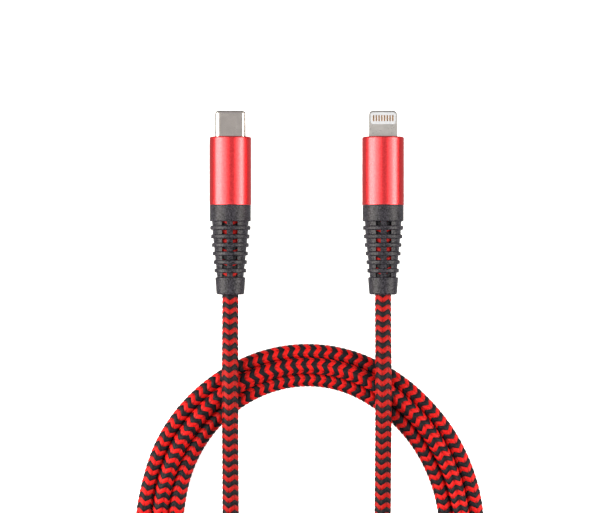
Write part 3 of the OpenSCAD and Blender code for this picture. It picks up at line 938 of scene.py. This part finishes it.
INSERT_W = insert_hi[0] - insert_lo[0]
INSERT_LEN = insert_hi[1] - insert_lo[1]
INSERT_CORNER = 0.75 * MM
INSERT_GAP = 0.02 * MM  # all round it in its pocket
TAB_LEAN = 0.1  # how much of an inset the tab's sides take, so that they stay nearly upright
DETENT_R = 0.5 * MM
DETENT_OUT = 0.2 * MM  # its centre's distance outside the tab's side
DETENT_BACK = 4.9 * MM  # behind the tab's tip


def stacked(name, outline_at, heights, material):
    """A capped plate from (height, inset) pairs and the outline that each inset gives."""
    loops = [[(x, y, z) for x, y in outline_at(inset)] for z, inset in heights]
    return lofted(name, loops, [material])


def edge_heights(half_h, edge, segments=4):
    """(height, inset) pairs up a side wall whose lower and upper edges are rounded."""
    guard = 0.03 * MM
    turns = [math.pi / 2 * k / segments for k in range(segments + 1)]
    below = [(-half_h + edge * (1 - math.sin(a)), edge * (1 - math.cos(a))) for a in turns[::-1]]
    below.insert(0, (-half_h, edge + guard))
    above = [(-z, inset) for z, inset in reversed(below)]
    return below + above


def eight_pin_tab():
    """A milled metal tongue with round edges, a pocket for the insert and two side detents."""
    half_h = (tab_hi[2] - tab_lo[2]) / 2
    w, length = tab_hi[0] - tab_lo[0], tab_hi[1] - tab_lo[1]
    corner, edge = 1.1 * MM, 0.6 * MM

    def plan(inset):
        half = w / 2 - TAB_LEAN * inset
        corners = [
            (-half, PLUG_BACK, 0), (half, PLUG_BACK, 0),
            (half, TIP - inset, corner - inset), (-half, TIP - inset, corner - inset),
        ]
        return rounded(corners, segments=10, guard=GUARD)

    def pocket_plan(inset):
        width, depth = INSERT_W + 2 * INSERT_GAP, INSERT_LEN + 2 * INSERT_GAP
        return plate_outline(width, depth, INSERT_CORNER, inset)

    heights = edge_heights(half_h, edge, segments=8)
    piece = stacked("eight_pin_plug_tab", plan, heights, TAB_NICKEL)
    pocket = stacked("pocket", pocket_plan, [(-2 * half_h, 0), (2 * half_h, 0)], TAB_NICKEL)
    moved(pocket, (0, insert_lo[1] - INSERT_GAP, 0))
    cutters = [pocket]
    for side in (-1, 1):
        ball = bmesh.new()
        bmesh.ops.create_uvsphere(ball, u_segments=24, v_segments=12, radius=DETENT_R)
        detent = add_object("detent", [], [], [])
        ball.to_mesh(detent.data)
        ball.free()
        moved(detent, (side * (w / 2 + DETENT_OUT), TIP - DETENT_BACK, 0))
        cutters.append(detent)
    cut_away(piece, cutters)
    on_axis(piece, "eight_pin")
    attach(piece, "eight_pin_end")
    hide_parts("eight_pin_tab")


def eight_pin_insert():
    """The white moulding that fills the tab's pocket."""
    half_h = (insert_hi[2] - insert_lo[2]) / 2
    piece = stacked(
        "eight_pin_white_insert",
        lambda inset: plate_outline(INSERT_W, INSERT_LEN, INSERT_CORNER, inset),
        edge_heights(half_h, 0.06 * MM, segments=3),
        WHITE_PLASTIC,
    )
    on_axis(moved(piece, (0, insert_lo[1], 0)), "eight_pin")
    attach(piece, "eight_pin_end")
    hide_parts("eight_pin_insert")


BARS, BAR_PITCH, BAR_W, BAR_DEPTH = 8, 0.74 * MM, 0.42 * MM, 0.3 * MM
BAR_PROUD = 0.015 * MM
BAR_CORNER, BAR_EDGE = 0.09 * MM, 0.05 * MM


def eight_pin_bars(face, side):
    """A row of eight gold contacts, a hair proud of the insert."""
    length = bars_hi[1] - bars_lo[1]
    top = (insert_hi[2] - insert_lo[2]) / 2 + BAR_PROUD
    pieces = []
    for i in range(BARS):
        bar = stacked(
            "bar",
            lambda inset: plate_outline(BAR_W, length, BAR_CORNER, inset),
            edge_heights(BAR_DEPTH, BAR_EDGE, segments=3),
            GOLD,
        )
        x = (i - (BARS - 1) / 2) * BAR_PITCH
        pieces.append(moved(bar, (x, bars_lo[1], side * (top - BAR_DEPTH))))
    piece = on_axis(join(f"eight_pin_{face}_bars", pieces), "eight_pin")
    keep_edges_sharp(piece)
    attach(piece, "eight_pin_end")
    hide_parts(f"eight_pin_{face}_contacts")


type_c_shell()
eight_pin_tab()
eight_pin_insert()
eight_pin_bars("upper", 1)
eight_pin_bars("lower", -1)

# ---------------------------------------------------------------- CAD nodes that stay

for name, cad_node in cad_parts.items():
    for end in ENDS:
        material = CARRIED_OVER.get(name.removeprefix(f"{end}_"))
        if name.startswith(end) and material is not None:
            cad_node.data.materials.clear()
            cad_node.data.materials.append(material)

# ---------------------------------------------------------------- table and light

TABLE_SIZE = 5
LIGHT_Y = -0.03  # the middle of every softbox
LIGHT_COLOUR = (1.0, 0.965, 0.87)

bpy.ops.mesh.primitive_plane_add(size=TABLE_SIZE, location=(0, 0, 0))
table = bpy.context.object
table.name = "table"
PAPER = moulded(
    "white_table", (0.90, 0.90, 0.90), (0.92, 0.92, 0.92), 0.6, 0.7,
    Emission_Color=(1, 1, 1, 1), Emission_Strength=0.6,
)
table.data.materials.append(PAPER)
table.visible_glossy = False


def softbox(name, side, low, high, radiance, distance=0.55, length=0.44):
    """A panel along Y, filling the tilts from low to high in degrees off straight up."""
    tilt = math.radians((low + high) / 2) * side
    data = bpy.data.lights.new(name, "AREA")
    data.shape = "RECTANGLE"
    data.size = 2 * distance * math.tan(math.radians(high - low) / 2)
    data.size_y = length
    data.energy = radiance * math.pi * data.size * data.size_y
    data.color = LIGHT_COLOUR
    lamp = bpy.data.objects.new(name, data)
    lamp.location = (distance * math.sin(tilt), LIGHT_Y, distance * math.cos(tilt))
    lamp.rotation_euler = (0, tilt, 0)
    lamp.visible_camera = False
    bpy.context.scene.collection.objects.link(lamp)


softbox("left_glow", -1, 10, 25, 1.5)
softbox("left_fill", -1, 25, 46, 5.2)
softbox("left_softbox", -1, 46, 85, 12)
softbox("right_fill", 1, 30, 52, 3.4)
softbox("right_softbox", 1, 52, 77, 12.5)

world = bpy.data.worlds.new("studio")
bpy.context.scene.world = world
world.use_nodes = True
direction = node(world, "ShaderNodeTexCoord")
upward = node(world, "ShaderNodeSeparateXYZ")
link(world, direction, "Generated", upward, "Vector")
sky = node(world, "ShaderNodeValToRGB")
GROUND, WALL, CEILING = 0.65, 0.06, 0.69  # grey levels below, around and above the cable
sky.color_ramp.elements[0].position = 0.36
sky.color_ramp.elements[0].color = (GROUND, GROUND, GROUND, 1)
sky.color_ramp.elements[1].position = 0.42
sky.color_ramp.elements[1].color = (WALL, WALL, WALL, 1)
top = sky.color_ramp.elements.new(1.0)
top.color = (CEILING, CEILING, CEILING, 1)
height = node(world, "ShaderNodeMapRange")
height.inputs["From Min"].default_value = -1
link(world, upward, "Z", height, "Value")
link(world, height, "Result", sky, "Fac")
link(world, sky, "Color", world.node_tree.nodes["Background"], "Color")
bpy.context.scene.view_settings.view_transform = "Standard"
